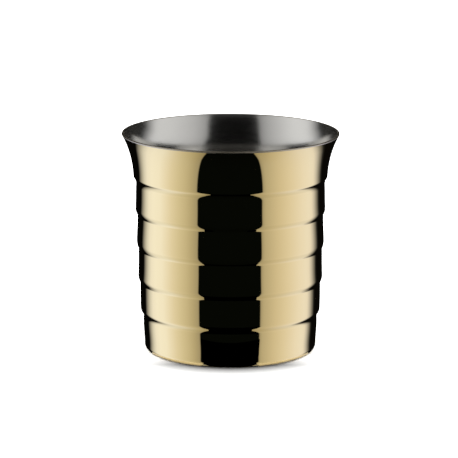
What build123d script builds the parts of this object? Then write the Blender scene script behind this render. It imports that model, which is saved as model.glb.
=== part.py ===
from build123d import *

import math
import os
from typing import NamedTuple

# A stepped bar jigger, built as a double-skinned cup. A drawn liner is nested in a drawn outer
# shell, the steps are pressed into both, the two cut edges are welded together at the lip, and
# a dished base plate closes the bottom. Every piece is a body of revolution about Z, and the
# jigger stands on Z = 0. Dimensions are in millimetres and angles in degrees.


class Step(NamedTuple):
    """One step of the outer wall, where the band above tucks in to the band below."""

    height: float     # top edge of the band below
    above: float      # outer radius at the bottom of the band above
    below: float      # outer radius at the top of the band below
    shoulder: float   # bend radius at the bottom of the band above
    crease: float     # bend radius at the top of the band below
    lean: float       # steepest inward lean of the step, from vertical
    foot_lean: float  # inward lean of the band above where it meets the shoulder
    head_lean: float  # inward lean of the band below where it leaves the crease


class Bend(NamedTuple):
    """One round stretch of a sheet's outer face in the X-Z plane, drawn from start to end.

    The angles run from +X towards +Z. A convex bend has its centre on the axis side.
    """

    centre: Vector
    radius: float
    start: float
    end: float
    convex: bool


# ---- driving dimensions ----
RIM_RADIUS = 27.0
HEIGHT = 55.0
SKIN = 0.25           # sheet thickness of the shell, the liner and the base plate
SKIN_GAP = 0.05       # fit between the shell and the liner

STEPS = (
    Step(height=42.15, above=24.15, below=23.47, shoulder=0.95, crease=2.7, lean=33,
         foot_lean=2.9, head_lean=-2.2),
    Step(height=34.3, above=23.62, below=23.15, shoulder=2.7, crease=0.6, lean=23.5,
         foot_lean=-2.6, head_lean=1.25),
    Step(height=25.75, above=23.33, below=22.89, shoulder=4.0, crease=0.8, lean=23,
         foot_lean=-0.9, head_lean=-0.15),
    Step(height=17.05, above=23.0, below=22.48, shoulder=2.35, crease=0.8, lean=22.7,
         foot_lean=-2.7, head_lean=-0.55),
    Step(height=8.45, above=22.42, below=21.68, shoulder=1.6, crease=1.85, lean=31.5,
         foot_lean=1.75, head_lean=-2.95),
)

LIP_ROLL_HEIGHT = 2.4  # height of the tighter roll at the top of the flare
LIP_ROLL_LEAN = 22.4   # outward lean where that roll starts

FOOT_RADIUS = 21.41   # outer radius at the top of the bottom corner
FOOT_CORNER = 1.55    # bend radius of the bottom corner
FOOT_LEAN = 0.9       # inward lean of the lowest band where it meets the corner
FOOT_OPENING = 18.0   # radius of the hole inside the turned-in foot

SEAM_WIDTH = 0.4      # radial width of the base weld
SEAM_SINK = 0.06      # depth of the groove along the base weld
PLATE_DISH = 15.3     # radius of the raised middle of the base plate
PLATE_RISE = 0.8      # how far it stands above the plate's flat edge
PLATE_LEAN = 45.0     # slope of the ramp between them
PLATE_BEND = 0.5      # inside bend radius of the base plate

LINER_FLOOR = 3.0     # underside of the liner's floor above the table
LINER_CORNER = 2.0    # bend radius between the liner's wall and floor

# ---- derived dimensions ----
WALL = 2 * SKIN + SKIN_GAP
LINER_INSET = SKIN + SKIN_GAP
LIP_RADIUS = WALL / 2
LIP_CENTRE = Vector(RIM_RADIUS - LIP_RADIUS, 0, HEIGHT - LIP_RADIUS)
PLATE_RADIUS = FOOT_OPENING - SEAM_WIDTH

DOWN = -90
INWARD = 180
COINCIDENT = 1e-6     # points closer than this are the same point
BEAD_ARCS = 5         # arcs in the crown of the rim weld, enough to keep a coarse mesh round


def polar(radius, angle):
    """Offset in the X-Z plane, with the angle from +X towards +Z."""
    turn = math.radians(angle)
    return Vector(radius * math.cos(turn), 0, radius * math.sin(turn))


def bend_point(bend, angle, inset=0.0):
    """Point on a bend, inset from the sheet's outer face into the sheet."""
    radius = bend.radius - inset if bend.convex else bend.radius + inset
    return bend.centre + polar(radius, angle)


def bend_edges(bends, inset):
    """Arcs of the bends in turn, with the smooth runs of wall that join them."""
    edges = []
    for bend in bends:
        start = bend_point(bend, bend.start, inset)
        middle = bend_point(bend, (bend.start + bend.end) / 2, inset)
        end = bend_point(bend, bend.end, inset)
        arc = ThreePointArc(start, middle, end)
        if edges and (start - edges[-1] @ 1).length > COINCIDENT:
            edges.append(Spline(edges[-1] @ 1, start, tangents=[edges[-1] % 1, arc % 0]))
        edges.append(arc)
    return edges


def lathe(edges):
    """Solid of revolution about Z of the section that the edges close."""
    return revolve(Face(Wire(edges)), Axis.Z)


def sheet(bends, inner_radius, inset=0.0, edge_radius=None):
    """Sheet-metal body of revolution that follows the bends.

    It ends in a level run in to inner_radius, and starts with a level run from edge_radius if
    that is given. The inset moves it in from the given bends.
    """
    faces = []
    for depth in (inset, inset + SKIN):
        edges = bend_edges(bends, depth)
        if edge_radius is not None:
            first = edges[0] @ 0
            edges.insert(0, Line(Vector(edge_radius, 0, first.Z), first))
        last = edges[-1] @ 1
        edges.append(Line(last, Vector(inner_radius, 0, last.Z)))
        faces.append(edges)
    outer, inner = faces
    start_edge = Line(outer[0] @ 0, inner[0] @ 0)
    end_edge = Line(outer[-1] @ 1, inner[-1] @ 1)
    return lathe(outer + [end_edge] + inner + [start_edge])


def joggle(end, heading, offset, radii, lean, lean_before=0.0, lean_after=0.0):
    """Two opposite bends that shift a sheet sideways by offset and end at the point end.

    The radii are those of the first and the second bend. Leans are measured from the heading:
    the sheet comes in at lean_before, crosses over at lean and goes out at lean_after.
    """
    normal = heading + 90
    before_cos, lean_cos, after_cos = (
        math.cos(math.radians(angle)) for angle in (lean_before, lean, lean_after))
    bent = radii[0] * (before_cos - lean_cos) + radii[1] * (after_cos - lean_cos)
    face = (offset - bent) / math.sin(math.radians(lean))
    second = Bend(end + polar(radii[1], normal - lean_after), radii[1],
                  normal + 180 - lean, normal + 180 - lean_after, False)
    face_start = bend_point(second, second.start) - polar(face, heading - lean)
    first = Bend(face_start - polar(radii[0], normal - lean), radii[0],
                 normal - lean_before, normal - lean, True)
    return [first, second]


def step_bends():
    """Shoulder and crease of every step, from the top of the wall down."""
    bends = []
    for step in STEPS:
        bends += joggle(Vector(step.below, 0, step.height), DOWN, step.above - step.below,
                        (step.shoulder, step.crease), step.lean, step.foot_lean, step.head_lean)
    return bends


def flare_bends(foot, foot_lean):
    """The rolled lip and the long flare below it, which meets the first shoulder at foot."""
    roll_foot_height = HEIGHT - LIP_ROLL_HEIGHT
    lean_rise = math.sin(math.radians(LIP_ROLL_LEAN)) - math.sin(math.radians(foot_lean))
    flare_radius = (roll_foot_height - foot.Z) / lean_rise
    flare = Bend(foot + polar(flare_radius, -foot_lean), flare_radius,
                 180 - LIP_ROLL_LEAN, 180 - foot_lean, False)

    roll_foot = bend_point(flare, flare.start)
    roll_outward = polar(1, -LIP_ROLL_LEAN)
    to_bead = LIP_CENTRE - roll_foot
    reach = to_bead.dot(roll_outward) + LIP_RADIUS
    roll_radius = (to_bead.length ** 2 - LIP_RADIUS ** 2) / (2 * reach)
    roll_centre = roll_foot + roll_outward * roll_radius
    bead_rise = (LIP_CENTRE.Z - roll_centre.Z) / (roll_radius + LIP_RADIUS)
    lip_lean = math.degrees(math.asin(bead_rise))
    roll = Bend(roll_centre, roll_radius, 180 - lip_lean, 180 - LIP_ROLL_LEAN, False)
    return [roll, flare]


def wall_bends():
    """Bends of the stepped wall that both skins share, from the lip to the lowest crease."""
    steps = step_bends()
    foot = bend_point(steps[0], steps[0].start)
    return flare_bends(foot, STEPS[0].foot_lean) + steps


def corner_bend(radius, height, wall_radius):
    """Bottom corner, from a wall at wall_radius to a level face at the given height."""
    centre = Vector(wall_radius - radius, 0, height + radius)
    return Bend(centre, radius, -FOOT_LEAN, DOWN, True)


def make_outer_shell(wall):
    corner = corner_bend(FOOT_CORNER, 0, FOOT_RADIUS)
    return sheet(wall + [corner], FOOT_OPENING)


def make_inner_cup(wall):
    """The liner: its corner is drawn as if on the shell's outer face, like its wall."""
    corner = corner_bend(LINER_CORNER + LINER_INSET, LINER_FLOOR - LINER_INSET, FOOT_RADIUS)
    return sheet(wall + [corner], 0, inset=LINER_INSET)


def make_rim_weld(wall):
    """Half-round bead over the cut edges of both skins, with its crown in short arcs."""
    lip = wall[0]
    count = 2 * BEAD_ARCS
    crown = [LIP_CENTRE + polar(LIP_RADIUS, lip.start - 180 * i / count) for i in range(count + 1)]
    arcs = [ThreePointArc(*crown[i:i + 3]) for i in range(0, count, 2)]
    return lathe([*arcs, Line(crown[-1], crown[0])])


def make_base_plate():
    """Disc with a flat edge in line with the foot and a raised middle."""
    dish_edge = Vector(PLATE_DISH, 0, PLATE_RISE)
    ramp = joggle(dish_edge, INWARD, PLATE_RISE, (PLATE_BEND + SKIN, PLATE_BEND), PLATE_LEAN)
    return sheet(ramp, 0, edge_radius=PLATE_RADIUS)


def make_base_weld():
    """Seam ring between the foot and the base plate, with a shallow groove underneath."""
    corners = [Vector(radius, 0, height) for radius, height in (
        (PLATE_RADIUS, 0), (PLATE_RADIUS, SKIN), (FOOT_OPENING, SKIN), (FOOT_OPENING, 0),
        (PLATE_RADIUS + SEAM_WIDTH / 2, SEAM_SINK))]
    return lathe(Polyline(*corners, close=True).edges())


wall = wall_bends()
pieces = {
    "outer_shell": make_outer_shell(wall),
    "inner_cup": make_inner_cup(wall),
    "rim_weld": make_rim_weld(wall),
    "base_plate": make_base_plate(),
    "base_weld": make_base_weld(),
}

os.makedirs("parts", exist_ok=True)
for name, piece in pieces.items():
    export_step(piece, f"parts/{name}.step")
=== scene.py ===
import math
from typing import NamedTuple

import bpy
from mathutils import Matrix, Vector


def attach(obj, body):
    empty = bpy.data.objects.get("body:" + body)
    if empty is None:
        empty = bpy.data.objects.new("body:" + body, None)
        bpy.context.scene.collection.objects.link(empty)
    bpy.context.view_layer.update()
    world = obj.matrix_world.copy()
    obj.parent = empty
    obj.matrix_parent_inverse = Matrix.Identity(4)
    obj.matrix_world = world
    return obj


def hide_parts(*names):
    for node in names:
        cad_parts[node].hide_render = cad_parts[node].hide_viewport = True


# Looks of the stepped bar jigger. Every piece is a body of revolution about Z, drawn again here
# at high resolution from the same dimensions as the CAD. Lengths are in millimetres, and are
# turned into metres where they go into a mesh, a material or the camera. Angles are in degrees.

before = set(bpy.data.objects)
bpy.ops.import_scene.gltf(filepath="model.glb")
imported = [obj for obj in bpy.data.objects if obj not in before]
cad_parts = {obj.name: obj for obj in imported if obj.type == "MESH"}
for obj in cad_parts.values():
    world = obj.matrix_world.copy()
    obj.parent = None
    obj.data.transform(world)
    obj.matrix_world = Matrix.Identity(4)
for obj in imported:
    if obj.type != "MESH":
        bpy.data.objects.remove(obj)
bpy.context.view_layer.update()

MM = 0.001


class Step(NamedTuple):
    """One step of the outer wall, where the band above tucks in to the band below."""

    height: float     # top edge of the band below
    above: float      # outer radius at the bottom of the band above
    below: float      # outer radius at the top of the band below
    shoulder: float   # bend radius at the bottom of the band above
    crease: float     # bend radius at the top of the band below
    lean: float       # steepest inward lean of the step, from vertical
    foot_lean: float  # inward lean of the band above where it meets the shoulder
    head_lean: float  # inward lean of the band below where it leaves the crease


class Bend(NamedTuple):
    """One round stretch of a sheet's outer face, drawn from start to end.

    Points are (radius, height) and the angles run from outward towards upward. A convex bend
    has its centre on the axis side.
    """

    centre: Vector
    radius: float
    start: float
    end: float
    convex: bool


class SteelFinish(NamedTuple):
    """Look of one bare steel piece."""

    dark: tuple         # colours of its patches
    light: tuple
    roughness: tuple    # least and most
    grain_scale: float  # noise cells per metre round the axis
    grain_depth: float  # strength of the bump, as a length


# ---- dimensions shared with the CAD ----
RIM_RADIUS = 27.0
HEIGHT = 55.0
SKIN = 0.25           # sheet thickness of the shell, the liner and the base plate
SKIN_GAP = 0.05       # fit between the shell and the liner

STEPS = (
    Step(height=42.15, above=24.15, below=23.47, shoulder=0.95, crease=2.7, lean=33,
         foot_lean=2.9, head_lean=-2.2),
    Step(height=34.3, above=23.62, below=23.15, shoulder=2.7, crease=0.6, lean=23.5,
         foot_lean=-2.6, head_lean=1.25),
    Step(height=25.75, above=23.33, below=22.89, shoulder=4.0, crease=0.8, lean=23,
         foot_lean=-0.9, head_lean=-0.15),
    Step(height=17.05, above=23.0, below=22.48, shoulder=2.35, crease=0.8, lean=22.7,
         foot_lean=-2.7, head_lean=-0.55),
    Step(height=8.45, above=22.42, below=21.68, shoulder=1.6, crease=1.85, lean=31.5,
         foot_lean=1.75, head_lean=-2.95),
)

LIP_ROLL_HEIGHT = 2.4  # height of the tighter roll at the top of the flare
LIP_ROLL_LEAN = 22.4   # outward lean where that roll starts

FOOT_RADIUS = 21.41   # outer radius at the top of the bottom corner
FOOT_CORNER = 1.55    # bend radius of the bottom corner
FOOT_LEAN = 0.9       # inward lean of the lowest band where it meets the corner
FOOT_OPENING = 18.0   # radius of the hole inside the turned-in foot

SEAM_WIDTH = 0.4      # radial width of the base weld
SEAM_SINK = 0.06      # depth of the groove along the base weld
PLATE_DISH = 15.3     # radius of the raised middle of the base plate
PLATE_RISE = 0.8      # how far it stands above the plate's flat edge
PLATE_LEAN = 45.0     # slope of the ramp between them
PLATE_BEND = 0.5      # inside bend radius of the base plate

LINER_FLOOR = 3.0     # underside of the liner's floor above the table
LINER_CORNER = 2.0    # bend radius between the liner's wall and floor

WALL = 2 * SKIN + SKIN_GAP
LINER_INSET = SKIN + SKIN_GAP
LIP_RADIUS = WALL / 2
LIP_CENTRE = Vector((RIM_RADIUS - LIP_RADIUS, HEIGHT - LIP_RADIUS))
PLATE_RADIUS = FOOT_OPENING - SEAM_WIDTH

DOWN = -90
INWARD = 180
COINCIDENT = 1e-4      # points closer than this are the same point

# ---- mesh resolution ----
TURN_SEGMENTS = 256
ARC_STEP = 1.0         # largest turn between two points of an arc
MIN_ARC_SEGMENTS = 8
WALL_SEGMENTS = 12     # in each run of wall between two bends
SHARP_EDGE = 30.0      # edges that turn by more than this stay sharp

# ---- camera ----
CAMERA_DISTANCE = 770.7    # in front of the axis
CAMERA_HEIGHT = 193.2
CAMERA_ASIDE = -0.35
CAMERA_PITCH = 11.925      # below level
CAMERA_ROLL = 0.12
CAMERA_LENS = 248.3
SENSOR = 36.0

# ---- gold ----
GOLD_DARK = (0.895, 0.695, 0.325)
GOLD_LIGHT = (0.905, 0.705, 0.335)
GOLD_STEP_SHADE = (0.82, 0.635, 0.29)    # painted shade: darker gold along a band above each step, which dims the bright reflected line there
GOLD_ROUGHNESS = (0.015, 0.035)
HAZE_SPAN = (0.1, 0.5)             # values of haze times grain that the roughness spans
RIPPLE_DEPTH = 0.002               # strength of the bump, as a length
STEP_SHADE_RISE = 1.0                    # height of the middle of the painted shade band above its step
STEP_SHADE_CORE = 0.2                    # half height of its fully shaded part
STEP_SHADE_EDGE = 0.6                    # half height where it ends

# ---- bare steel ----
GRAIN_SPAN = (0.3, 0.7)            # values of the grain that the roughness spans
STEEL_FINISHES = {
    "satin_steel": SteelFinish(dark=(0.60, 0.59, 0.565), light=(0.64, 0.63, 0.605),
                               roughness=(0.12, 0.2), grain_scale=260, grain_depth=0.002),
    "polished_steel": SteelFinish(dark=(0.49, 0.43, 0.33), light=(0.56, 0.50, 0.40),
                                  roughness=(0.35, 0.45), grain_scale=300, grain_depth=0.002),
    "brushed_steel": SteelFinish(dark=(0.56, 0.54, 0.50), light=(0.64, 0.61, 0.57),
                                 roughness=(0.24, 0.36), grain_scale=300, grain_depth=0.004),
    "weld_seam": SteelFinish(dark=(0.44, 0.42, 0.39), light=(0.52, 0.50, 0.47),
                             roughness=(0.38, 0.5), grain_scale=500, grain_depth=0.006),
}

# ---- table ----
FLOOR_HALF_SIDE = 6000.0
FLOOR_DROP = 0.02              # keeps the floor's face and the foot's apart
FLOOR_DARK = (0.89, 0.89, 0.89)
FLOOR_LIGHT = (0.91, 0.91, 0.91)
SHADOW_COLOUR = (0.15, 0.15, 0.15)
SHADOW_REACH = 12.0            # reach of the ambient occlusion that gives the contact shadow
SHADOW_OPENNESS = (0.49, 1.0)  # its values where the shadow is full and where it ends
SHADOW_FRONT = (-17.5, -10.5)  # Y where the shadow is full, and where it ends beside the cup

# Cards that lie on the table and show in the cup's reflections only. The flag is dark and lies
# in front of the cup. Its edge is given as half widths and distances from the axis. The two
# bounce cards are narrow grey strips round the foot, one on each side, between two azimuths
# from the front.
FLAG_EDGE = ((7.0, 20.2), (7.4, 22.2), (12.6, 27.0), (25.2, 42.0))
FLAG_HEIGHT = 0.05
FLAG_GREY = 0.0
BOUNCE_RADII = (19.8, 21.9)
BOUNCE_FROM, BOUNCE_TO = 20.0, 70.0
BOUNCE_SEGMENTS = 24
BOUNCE_HEIGHT = 0.02
BOUNCE_GREY = 0.5

# ---- studio ----

# What the polished cup sees round it at the height of the camera: two big soft boxes with a
# dark gap in front, which holds the camera, and a dark room behind. The angles run from the
# front, to the right. Each stop is the angle with the red, green and blue of the light.
LIGHT_ROUND_THE_CUP = (
    (-138.5, (0.002, 0.002, 0.002)), (-130, (0.44, 0.48, 0.62)), (-124, (0.73, 0.82, 1.12)),
    (-117, (0.95, 1.06, 1.49)), (-108, (1.01, 1.14, 1.61)), (-95, (0.99, 1.11, 1.56)),
    (-84, (0.90, 0.97, 1.25)), (-76, (0.82, 0.86, 1.01)), (-66, (0.72, 0.745, 0.80)),
    (-56, (0.62, 0.63, 0.64)), (-48, (0.515, 0.515, 0.50)), (-42, (0.42, 0.42, 0.42)),
    (-40.6, (0.37, 0.37, 0.375)), (-39.6, (0.002, 0.003, 0.003)),
    (38.4, (0.002, 0.003, 0.003)), (39.4, (0.41, 0.41, 0.41)), (43, (0.53, 0.53, 0.535)),
    (51, (0.61, 0.61, 0.63)), (60, (0.70, 0.70, 0.74)), (76, (0.81, 0.83, 0.96)),
    (97, (0.91, 0.97, 1.29)), (109, (0.93, 1.01, 1.38)), (116, (0.90, 0.97, 1.31)),
    (122, (0.63, 0.68, 0.93)), (128, (0.28, 0.30, 0.39)), (134, (0.022, 0.024, 0.03)),
    (138, (0.003, 0.003, 0.003)),
)
CAMERA_DIP = 12.0            # how far below level the cup's upright walls reflect the camera
NARROWING_ABOVE = 0.30       # how much the soft boxes draw together above level
NARROWING_LEFT = -320.0      # azimuths at which that would have died away
NARROWING_RIGHT = 190.0
TWIST_ABOVE = 4.5            # and how far they swing to the left
HIGH = 18.0                  # elevation at which they have done so
SPREADING_BELOW = 0.0015     # how fast they spread below the camera dip, per degree
DARK_BELOW = 81.0            # how far below the camera dip the light has gone
FADE_POWER = 3.0             # how late it goes: more is later
WARMER_BELOW = (34.0, 56.0)  # span below the camera dip where a warm filter sets in
WARM_FILTER = (0.97, 0.93, 0.79)
NEUTRAL_ABOVE = 10.0         # elevation from which the light is free of the coating's tint
ROOM_IN_FRONT = (0.005, 0.005, 0.005)    # the dark room above the cup, front and back
ROOM_BEHIND = (0.036, 0.035, 0.032)
ROOM_TURN = (60.0, 140.0)    # azimuths between which one turns into the other
CEILING = (0.15, 0.15, 0.145)
CEILING_SPAN = (42.0, 62.0)  # elevations between which it takes over
ROOM_LIGHT = 2.8             # white light on everything but the cup's reflections


# ---- outlines ----

def polar(radius, angle):
    turn = math.radians(angle)
    return Vector((radius * math.cos(turn), radius * math.sin(turn)))


def inset_radius(bend, inset):
    """Radius of a bend, inset from the sheet's outer face into the sheet."""
    return bend.radius - inset if bend.convex else bend.radius + inset


def bend_point(bend, angle, inset=0.0):
    return bend.centre + polar(inset_radius(bend, inset), angle)


def joggle(end, heading, offset, radii, lean, lean_before=0.0, lean_after=0.0):
    """Two opposite bends that shift a sheet sideways by offset and end at the point end.

    The radii are those of the first and the second bend. Leans are measured from the heading:
    the sheet comes in at lean_before, crosses over at lean and goes out at lean_after.
    """
    normal = heading + 90
    before_cos, lean_cos, after_cos = (
        math.cos(math.radians(angle)) for angle in (lean_before, lean, lean_after))
    bent = radii[0] * (before_cos - lean_cos) + radii[1] * (after_cos - lean_cos)
    face = (offset - bent) / math.sin(math.radians(lean))
    second = Bend(end + polar(radii[1], normal - lean_after), radii[1],
                  normal + 180 - lean, normal + 180 - lean_after, False)
    face_start = bend_point(second, second.start) - polar(face, heading - lean)
    first = Bend(face_start - polar(radii[0], normal - lean), radii[0],
                 normal - lean_before, normal - lean, True)
    return [first, second]


def step_bends():
    """Shoulder and crease of every step, from the top of the wall down."""
    bends = []
    for step in STEPS:
        end = Vector((step.below, step.height))
        bends += joggle(end, DOWN, step.above - step.below, (step.shoulder, step.crease),
                        step.lean, step.foot_lean, step.head_lean)
    return bends


def flare_bends(foot, foot_lean):
    """The rolled lip and the long flare below it, which meets the first shoulder at foot."""
    roll_foot_height = HEIGHT - LIP_ROLL_HEIGHT
    lean_rise = math.sin(math.radians(LIP_ROLL_LEAN)) - math.sin(math.radians(foot_lean))
    flare_radius = (roll_foot_height - foot.y) / lean_rise
    flare = Bend(foot + polar(flare_radius, -foot_lean), flare_radius,
                 180 - LIP_ROLL_LEAN, 180 - foot_lean, False)

    roll_foot = bend_point(flare, flare.start)
    outward = polar(1, -LIP_ROLL_LEAN)
    to_bead = LIP_CENTRE - roll_foot
    reach = to_bead.dot(outward) + LIP_RADIUS
    roll_radius = (to_bead.length ** 2 - LIP_RADIUS ** 2) / (2 * reach)
    roll_centre = roll_foot + outward * roll_radius
    bead_rise = (LIP_CENTRE.y - roll_centre.y) / (roll_radius + LIP_RADIUS)
    lip_lean = math.degrees(math.asin(bead_rise))
    roll = Bend(roll_centre, roll_radius, 180 - lip_lean, 180 - LIP_ROLL_LEAN, False)
    return [roll, flare]


def wall_bends():
    """Bends of the stepped wall that both skins share, from the lip to the lowest crease."""
    steps = step_bends()
    foot = bend_point(steps[0], steps[0].start)
    return flare_bends(foot, STEPS[0].foot_lean) + steps


def corner_bend(radius, height, wall_radius):
    """Bottom corner, from a wall at wall_radius to a level face at the given height."""
    centre = Vector((wall_radius - radius, height + radius))
    return Bend(centre, radius, -FOOT_LEAN, DOWN, True)


def arc_points(centre, radius, start, end):
    count = max(MIN_ARC_SEGMENTS, math.ceil(abs(end - start) / ARC_STEP))
    return [centre + polar(radius, start + (end - start) * i / count) for i in range(count + 1)]


def tangent(bend, angle):
    """Direction of travel along a bend, from its start to its end."""
    return polar(1, angle - 90 if bend.end < bend.start else angle + 90)


def wall_points(start, start_tangent, end, end_tangent):
    """Cubic from start to end with the given directions, without its two end points."""
    reach = (end - start).length
    if reach < COINCIDENT:
        return []
    points = []
    for i in range(1, WALL_SEGMENTS):
        t = i / WALL_SEGMENTS
        from_start = (2 * t ** 3 - 3 * t ** 2 + 1) * start
        leaving = (t ** 3 - 2 * t ** 2 + t) * reach * start_tangent
        to_end = (3 * t ** 2 - 2 * t ** 3) * end
        arriving = (t ** 3 - t ** 2) * reach * end_tangent
        points.append(from_start + leaving + to_end + arriving)
    return points


def face_points(bends, inset):
    """One face of a sheet that follows the bends, with the runs of wall that join them."""
    points = []
    before = None
    for bend in bends:
        if before:
            points += wall_points(points[-1], tangent(before, before.end),
                                  bend_point(bend, bend.start, inset), tangent(bend, bend.start))
        points += arc_points(bend.centre, inset_radius(bend, inset), bend.start, bend.end)
        before = bend
    return points


def sheet_outline(bends, inner_radius, inset=0.0, edge_radius=None):
    """Outline of a sheet that follows the bends and ends in a level run in to inner_radius.

    It starts with a level run from edge_radius if that is given. The inset moves it in from
    the given bends.
    """
    outer, inner = (face_points(bends, depth) for depth in (inset, inset + SKIN))
    for face in (outer, inner):
        if edge_radius is not None:
            face.insert(0, Vector((edge_radius, face[0].y)))
        face.append(Vector((inner_radius, face[-1].y)))
    return outer + inner[::-1]


# ---- meshes ----

def add_object(name, vertices, faces):
    mesh = bpy.data.meshes.new(name)
    mesh.from_pydata(vertices, [], faces)
    added = bpy.data.objects.new(name, mesh)
    bpy.context.scene.collection.objects.link(added)
    return added


def without_repeats(points):
    kept = []
    for point in points:
        if not kept or (point - kept[-1]).length > COINCIDENT:
            kept.append(point)
    return kept


def turned_rings(outline):
    """Vertices of the outline turned about Z, and the indices of those that each point makes."""
    vertices, rings = [], []
    for point in outline:
        if point.x < COINCIDENT:
            rings.append([len(vertices)] * TURN_SEGMENTS)
            vertices.append((0.0, 0.0, point.y * MM))
            continue
        rings.append(range(len(vertices), len(vertices) + TURN_SEGMENTS))
        for i in range(TURN_SEGMENTS):
            turn = 2 * math.pi * i / TURN_SEGMENTS
            vertices.append((point.x * MM * math.cos(turn), point.x * MM * math.sin(turn),
                             point.y * MM))
    return vertices, rings


def lathe(name, outline):
    """Closed mesh from the outline revolved about Z."""
    vertices, rings = turned_rings(without_repeats(outline))
    faces = []
    for ring, following in zip(rings, rings[1:] + rings[:1]):
        both_on_axis = ring[0] == ring[1] and following[0] == following[1]
        if both_on_axis:
            continue
        for i in range(TURN_SEGMENTS):
            j = (i + 1) % TURN_SEGMENTS
            corners = (ring[i], following[i], following[j], ring[j])
            faces.append(tuple(dict.fromkeys(corners)))
    piece = add_object(name, vertices, faces)
    piece.data.shade_smooth()
    piece.data.set_sharp_from_angle(angle=math.radians(SHARP_EDGE))
    return piece


# ---- nodes ----

def new_material(name):
    material = bpy.data.materials.new(name)
    material.use_nodes = True
    tree = material.node_tree
    return material, tree, tree.nodes["Principled BSDF"]


def calc(tree, operation, *values):
    """Output of a Math node. Every value is a number or another node's output."""
    node = tree.nodes.new("ShaderNodeMath")
    node.operation = operation
    for socket, value in zip(node.inputs, values):
        if isinstance(value, (int, float)):
            socket.default_value = value
        else:
            tree.links.new(value, socket)
    return node.outputs[0]


def combine_colours(tree, operation, first, second):
    """Output of a Vector Math node on two other nodes' outputs, channel by channel."""
    node = tree.nodes.new("ShaderNodeVectorMath")
    node.operation = operation
    tree.links.new(first, node.inputs[0])
    tree.links.new(second, node.inputs[1])
    return node.outputs[0]


def remap(tree, value, source, target):
    """Value moved from the source range to the target range, and clamped there."""
    node = tree.nodes.new("ShaderNodeMapRange")
    tree.links.new(value, node.inputs["Value"])
    for name, number in zip(("From Min", "From Max", "To Min", "To Max"), source + target):
        node.inputs[name].default_value = number
    return node.outputs[0]


def mix_colours(tree, factor, first, second):
    """Each of first and second is a colour or another node's output."""
    node = tree.nodes.new("ShaderNodeMix")
    node.data_type = "RGBA"
    tree.links.new(factor, node.inputs[0])
    for socket, colour in zip(node.inputs[6:8], (first, second)):
        if isinstance(colour, tuple):
            socket.default_value = (*colour, 1)
        else:
            tree.links.new(colour, socket)
    return node.outputs[2]


def coordinates(tree, vector):
    """X, Y and Z outputs of a vector."""
    split = tree.nodes.new("ShaderNodeSeparateXYZ")
    tree.links.new(vector, split.inputs[0])
    return split.outputs


def noise(tree, vector, scale, detail=2.0, roughness=0.5):
    node = tree.nodes.new("ShaderNodeTexNoise")
    tree.links.new(vector, node.inputs["Vector"])
    node.inputs["Scale"].default_value = scale
    node.inputs["Detail"].default_value = detail
    node.inputs["Roughness"].default_value = roughness
    return node.outputs["Fac"]


def object_position(tree):
    return tree.nodes.new("ShaderNodeTexCoord").outputs["Object"]


def lathe_grain(tree, stretch):
    """Position with the height and the radius stretched, so that a noise on it turns into
    fine rings round the axis."""
    x, y, z = coordinates(tree, object_position(tree))
    radius = calc(tree, "SQRT", calc(tree, "ADD", calc(tree, "MULTIPLY", x, x),
                                     calc(tree, "MULTIPLY", y, y)))
    along = calc(tree, "MULTIPLY", calc(tree, "ADD", z, radius), stretch)
    join = tree.nodes.new("ShaderNodeCombineXYZ")
    for source, target in zip((x, y, along), join.inputs):
        tree.links.new(source, target)
    return join.outputs[0]


def add_bump(tree, shader, height, depth):
    bump = tree.nodes.new("ShaderNodeBump")
    bump.inputs["Distance"].default_value = depth * MM
    tree.links.new(height, bump.inputs["Height"])
    tree.links.new(bump.outputs[0], shader.inputs["Normal"])


def make_matt(shader):
    shader.inputs["Roughness"].default_value = 1.0
    shader.inputs["Specular IOR Level"].default_value = 0.0


# ---- materials ----

def step_shade_mask(tree):
    """Mask of the painted shade: 1 in the steps of the wall and 0 elsewhere."""
    height = coordinates(tree, object_position(tree))["Z"]
    nearest = HEIGHT * MM
    for step in STEPS:
        offset = calc(tree, "SUBTRACT", height, (step.height + STEP_SHADE_RISE) * MM)
        nearest = calc(tree, "MINIMUM", calc(tree, "ABSOLUTE", offset), nearest)
    return remap(tree, nearest, (STEP_SHADE_CORE * MM, STEP_SHADE_EDGE * MM), (1.0, 0.0))


def gold_material():
    """Mirror-polished gold coating with a trace of polishing grain and handling haze, and
    painted shade in the steps.
    """
    material, tree, shader = new_material("gold_finish")
    haze = noise(tree, object_position(tree), scale=90, detail=4)
    grain = noise(tree, lathe_grain(tree, stretch=40), scale=400)
    shader.inputs["Metallic"].default_value = 1.0
    polished = mix_colours(tree, haze, GOLD_DARK, GOLD_LIGHT)
    # painted shade: the gold's colour turns darker along a band above each step
    tree.links.new(mix_colours(tree, step_shade_mask(tree), polished, GOLD_STEP_SHADE),
                   shader.inputs["Base Color"])
    mixed = calc(tree, "MULTIPLY", haze, grain)
    tree.links.new(remap(tree, mixed, HAZE_SPAN, GOLD_ROUGHNESS), shader.inputs["Roughness"])
    ripple = noise(tree, object_position(tree), scale=60, detail=1)
    add_bump(tree, shader, ripple, RIPPLE_DEPTH)
    return material


def steel_material(name):
    """Bare steel with fine grain round the axis and faint patches."""
    finish = STEEL_FINISHES[name]
    material, tree, shader = new_material(name)
    grain = noise(tree, lathe_grain(tree, stretch=30), finish.grain_scale, detail=3,
                  roughness=0.7)
    patches = noise(tree, object_position(tree), scale=130, detail=3)
    shader.inputs["Metallic"].default_value = 1.0
    tree.links.new(mix_colours(tree, patches, finish.dark, finish.light),
                   shader.inputs["Base Color"])
    tree.links.new(remap(tree, grain, GRAIN_SPAN, finish.roughness), shader.inputs["Roughness"])
    add_bump(tree, shader, grain, finish.grain_depth)
    return material


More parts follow.
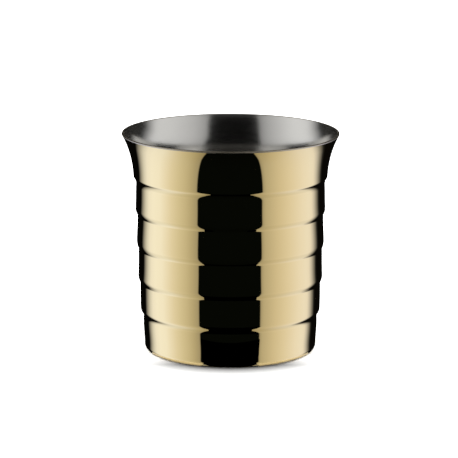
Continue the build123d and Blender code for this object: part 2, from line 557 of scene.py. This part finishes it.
def contact_shade(tree):
    """1 on the table close in front of the foot and 0 away from it."""
    contact = tree.nodes.new("ShaderNodeAmbientOcclusion")
    contact.inputs["Distance"].default_value = SHADOW_REACH * MM
    closeness = remap(tree, contact.outputs["AO"], SHADOW_OPENNESS, (1.0, 0.0))
    full, end = SHADOW_FRONT
    y = coordinates(tree, object_position(tree))["Y"]
    in_front = remap(tree, y, (full * MM, end * MM), (1.0, 0.0))
    return calc(tree, "MULTIPLY", closeness, in_front)


def floor_material():
    """Pale table with a soft contact shadow in front of the foot."""
    material, tree, shader = new_material("floor")
    speckle = noise(tree, object_position(tree), scale=600)
    pale = mix_colours(tree, speckle, FLOOR_DARK, FLOOR_LIGHT)
    tree.links.new(mix_colours(tree, contact_shade(tree), pale, SHADOW_COLOUR),
                   shader.inputs["Base Color"])
    make_matt(shader)
    return material


# ---- light ----

def light_ramp(tree, azimuth):
    """Light round the cup at the camera dip, by azimuth."""
    ramp = tree.nodes.new("ShaderNodeValToRGB")
    turn = calc(tree, "ADD", calc(tree, "DIVIDE", azimuth, 360.0), 0.5)
    tree.links.new(turn, ramp.inputs[0])
    elements = ramp.color_ramp.elements
    elements.remove(elements[-1])
    for index, (angle, colour) in enumerate(LIGHT_ROUND_THE_CUP):
        position = angle / 360 + 0.5
        element = elements[0] if index == 0 else elements.new(position)
        element.position = position
        element.color = (*colour, 1)
    return ramp.outputs["Color"]


def ray_angles(tree):
    """Azimuth, from the front to the right, and elevation of the direction of a ray."""
    x, y, z = coordinates(tree, tree.nodes.new("ShaderNodeTexCoord").outputs["Generated"])
    azimuth = calc(tree, "DEGREES", calc(tree, "ARCTAN2", x, calc(tree, "MULTIPLY", y, -1.0)))
    elevation = calc(tree, "DEGREES", calc(tree, "ARCSINE", z))
    return azimuth, elevation


def azimuth_at_dip(tree, azimuth, elevation, sunk):
    """Azimuth at which the ramp holds the light that is seen in the given direction."""
    raised = remap(tree, elevation, (0.0, HIGH), (0.0, 1.0))
    round_the_cup = calc(tree, "MAXIMUM", calc(tree, "DIVIDE", azimuth, NARROWING_LEFT),
                         calc(tree, "DIVIDE", azimuth, NARROWING_RIGHT))
    ease = remap(tree, round_the_cup, (0.0, 1.0), (NARROWING_ABOVE, 0.0))
    narrowing = calc(tree, "MULTIPLY", raised, ease)
    spreading = calc(tree, "MULTIPLY", sunk, SPREADING_BELOW)
    squeeze = calc(tree, "ADD", calc(tree, "SUBTRACT", narrowing, spreading), 1.0)
    twist = calc(tree, "MULTIPLY", raised, TWIST_ABOVE)
    return calc(tree, "ADD", calc(tree, "MULTIPLY", azimuth, squeeze), twist)


def untinted(tree, tinted, azimuth):
    """The tinted light as a grey of its red, and nowhere darker than the room."""
    channels = tree.nodes.new("ShaderNodeSeparateColor")
    tree.links.new(tinted, channels.inputs[0])
    backward = remap(tree, calc(tree, "ABSOLUTE", azimuth), ROOM_TURN, (0.0, 1.0))
    room = mix_colours(tree, backward, ROOM_IN_FRONT, ROOM_BEHIND)
    return combine_colours(tree, "MAXIMUM", channels.outputs["Red"], room)


def reflected_light(tree):
    """Background that only the cup's reflections show."""
    azimuth, elevation = ray_angles(tree)
    sunk = calc(tree, "MAXIMUM", calc(tree, "SUBTRACT", -CAMERA_DIP, elevation), 0.0)
    tinted = light_ramp(tree, azimuth_at_dip(tree, azimuth, elevation, sunk))
    boxes = mix_colours(tree, remap(tree, elevation, (0.0, NEUTRAL_ABOVE), (0.0, 1.0)),
                        tinted, untinted(tree, tinted, azimuth))
    filter_below = mix_colours(tree, remap(tree, sunk, WARMER_BELOW, (0.0, 1.0)),
                               (1.0, 1.0, 1.0), WARM_FILTER)
    warmed = combine_colours(tree, "MULTIPLY", boxes, filter_below)
    everything = mix_colours(tree, remap(tree, elevation, CEILING_SPAN, (0.0, 1.0)),
                             warmed, CEILING)
    background = tree.nodes.new("ShaderNodeBackground")
    tree.links.new(everything, background.inputs["Color"])
    gone = calc(tree, "POWER", calc(tree, "DIVIDE", sunk, DARK_BELOW), FADE_POWER)
    tree.links.new(calc(tree, "SUBTRACT", 1.0, gone), background.inputs["Strength"])
    return background.outputs[0]


def plain_light(tree):
    """White background for everything but the reflections."""
    background = tree.nodes.new("ShaderNodeBackground")
    background.inputs["Color"].default_value = (1, 1, 1, 1)
    background.inputs["Strength"].default_value = ROOM_LIGHT
    return background.outputs[0]


def studio_world():
    world = bpy.data.worlds.new("studio")
    bpy.context.scene.world = world
    world.use_nodes = True
    world.cycles.sampling_method = "NONE"
    tree = world.node_tree
    tree.nodes.clear()
    rays = tree.nodes.new("ShaderNodeLightPath")
    mix = tree.nodes.new("ShaderNodeMixShader")
    tree.links.new(rays.outputs["Is Glossy Ray"], mix.inputs[0])
    tree.links.new(plain_light(tree), mix.inputs[1])
    tree.links.new(reflected_light(tree), mix.inputs[2])
    output = tree.nodes.new("ShaderNodeOutputWorld")
    tree.links.new(mix.outputs[0], output.inputs["Surface"])


# ---- stage ----

def make_floor():
    side = FLOOR_HALF_SIDE * MM
    low = -FLOOR_DROP * MM
    corners = [(-side, -side, low), (side, -side, low), (side, side, low), (-side, side, low)]
    floor = add_object("floor", corners, [(0, 1, 2, 3)])
    floor.data.materials.append(floor_material())
    floor.visible_glossy = False


def reflected_card(name, vertices, faces, grey):
    """Card on the table that shows in the cup's reflections and nowhere else."""
    card = add_object(name, [Vector(vertex) * MM for vertex in vertices], faces)
    material, _, shader = new_material(name)
    shader.inputs["Base Color"].default_value = (grey, grey, grey, 1)
    make_matt(shader)
    card.data.materials.append(material)
    card.visible_camera = False
    card.visible_diffuse = False
    card.visible_shadow = False


def make_flag():
    right = [(half, -distance, FLAG_HEIGHT) for half, distance in FLAG_EDGE]
    left = [(-x, y, z) for x, y, z in right]
    corners = right + left[::-1]
    reflected_card("flag", corners, [range(len(corners))], FLAG_GREY)


def make_bounce():
    for side, sign in (("left", -1), ("right", 1)):
        vertices = []
        for i in range(BOUNCE_SEGMENTS + 1):
            along = (BOUNCE_TO - BOUNCE_FROM) * i / BOUNCE_SEGMENTS
            azimuth = math.radians(BOUNCE_FROM + along)
            vertices += [(sign * radius * math.sin(azimuth), -radius * math.cos(azimuth),
                          BOUNCE_HEIGHT) for radius in BOUNCE_RADII]
        faces = [(2 * i, 2 * i + 1, 2 * i + 3, 2 * i + 2) for i in range(BOUNCE_SEGMENTS)]
        reflected_card(f"bounce_{side}", vertices, faces, BOUNCE_GREY)


def make_camera():
    data = bpy.data.cameras.new("camera")
    data.lens = CAMERA_LENS
    data.sensor_width = SENSOR
    camera = bpy.data.objects.new("camera", data)
    bpy.context.scene.collection.objects.link(camera)
    camera.location = (CAMERA_ASIDE * MM, -CAMERA_DISTANCE * MM, CAMERA_HEIGHT * MM)
    tilt = Matrix.Rotation(math.radians(90 - CAMERA_PITCH), 3, "X")
    roll = Matrix.Rotation(math.radians(CAMERA_ROLL), 3, "Z")
    camera.rotation_euler = (tilt @ roll).to_euler()
    bpy.context.scene.camera = camera


# ---- pieces ----

def place(piece, node, material):
    piece.data.materials.append(material)
    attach(piece, "root")
    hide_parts(node)


def make_shell(wall):
    corner = corner_bend(FOOT_CORNER, 0, FOOT_RADIUS)
    shell = lathe("shell", sheet_outline(wall + [corner], FOOT_OPENING))
    place(shell, "outer_shell", gold_material())


def make_liner(wall):
    """The liner: its corner is drawn as if on the shell's outer face, like its wall."""
    corner = corner_bend(LINER_CORNER + LINER_INSET, LINER_FLOOR - LINER_INSET, FOOT_RADIUS)
    liner = lathe("liner", sheet_outline(wall + [corner], 0, inset=LINER_INSET))
    place(liner, "inner_cup", steel_material("satin_steel"))


def make_lip(wall):
    """Half-round bead over the cut edges of both skins."""
    start = wall[0].start
    lip = lathe("lip", arc_points(LIP_CENTRE, LIP_RADIUS, start, start - 180))
    place(lip, "rim_weld", steel_material("polished_steel"))


def make_base_plate():
    """Disc with a flat edge in line with the foot and a raised middle."""
    dish_edge = Vector((PLATE_DISH, PLATE_RISE))
    ramp = joggle(dish_edge, INWARD, PLATE_RISE, (PLATE_BEND + SKIN, PLATE_BEND), PLATE_LEAN)
    plate = lathe("base_plate_disc", sheet_outline(ramp, 0, edge_radius=PLATE_RADIUS))
    place(plate, "base_plate", steel_material("brushed_steel"))


def make_base_seam():
    """Seam ring between the foot and the base plate, with a shallow groove underneath."""
    outline = [Vector(corner) for corner in (
        (PLATE_RADIUS, 0), (PLATE_RADIUS, SKIN), (FOOT_OPENING, SKIN), (FOOT_OPENING, 0),
        (PLATE_RADIUS + SEAM_WIDTH / 2, SEAM_SINK))]
    seam = lathe("base_seam", outline)
    place(seam, "base_weld", steel_material("weld_seam"))


shared_wall = wall_bends()
make_shell(shared_wall)
make_liner(shared_wall)
make_lip(shared_wall)
make_base_plate()
make_base_seam()

studio_world()
make_floor()
make_flag()
make_bounce()
make_camera()
bpy.context.scene.view_settings.view_transform = "Standard"
